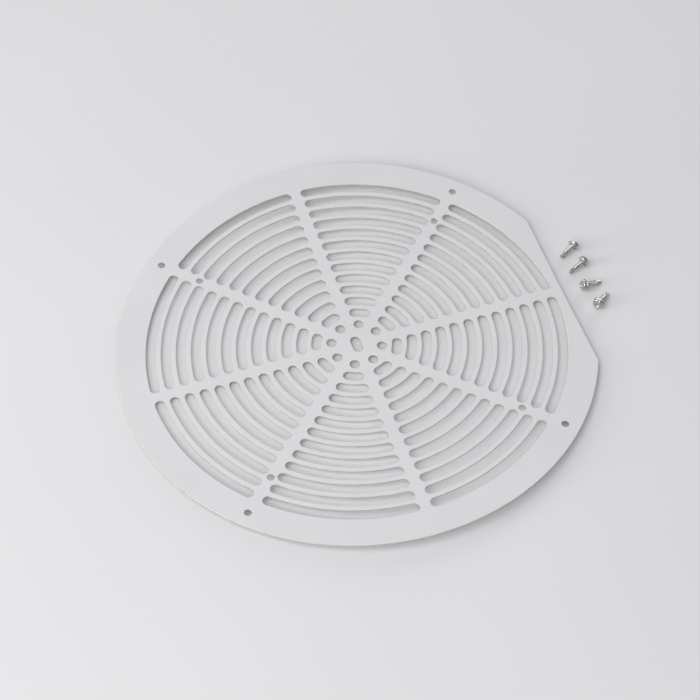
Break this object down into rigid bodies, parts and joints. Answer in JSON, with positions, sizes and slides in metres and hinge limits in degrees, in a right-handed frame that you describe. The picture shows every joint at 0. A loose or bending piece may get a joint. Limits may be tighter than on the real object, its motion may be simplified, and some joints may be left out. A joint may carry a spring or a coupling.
{
  "type": "ceiling air diffuser faceplate",
  "caption": "Round sheet-metal air grille with rings of curved slots, a flat on its rim and loose hex-head screws.",
  "frame": {"origin": "centre of the circle of four rim holes, on the back of the sheet at those holes", "axes": "+Z out of the front of the plate, towards the room; +X from the centre towards the flat on the rim, square to it"},
  "size_m": [0.4266, 0.4064, 0.0106],
  "materials": {
    "white_powder_coat": "satin white powder coat",
    "zinc_plated_steel": "bright zinc plating"
  },
  "bodies": {
    "plate": {"faceplate": "white_powder_coat"},
    "screw_1": {"screw_1": "zinc_plated_steel"},
    "screw_2": {"screw_2": "zinc_plated_steel"},
    "screw_3": {"screw_3": "zinc_plated_steel"},
    "screw_4": {"screw_4": "zinc_plated_steel"}
  },
  "joints": [
    {"name": "screw_1_lift", "type": "slide", "parent": "plate", "child": "screw_1", "axis": [0, 0, 1], "range_m": [0, 0.06]},
    {"name": "screw_2_lift", "type": "slide", "parent": "plate", "child": "screw_2", "axis": [0, 0, 1], "range_m": [0, 0.06]},
    {"name": "screw_3_lift", "type": "slide", "parent": "plate", "child": "screw_3", "axis": [0, 0, 1], "range_m": [0, 0.06]},
    {"name": "screw_4_lift", "type": "slide", "parent": "plate", "child": "screw_4", "axis": [0, 0, 1], "range_m": [0, 0.06]}
  ]
}
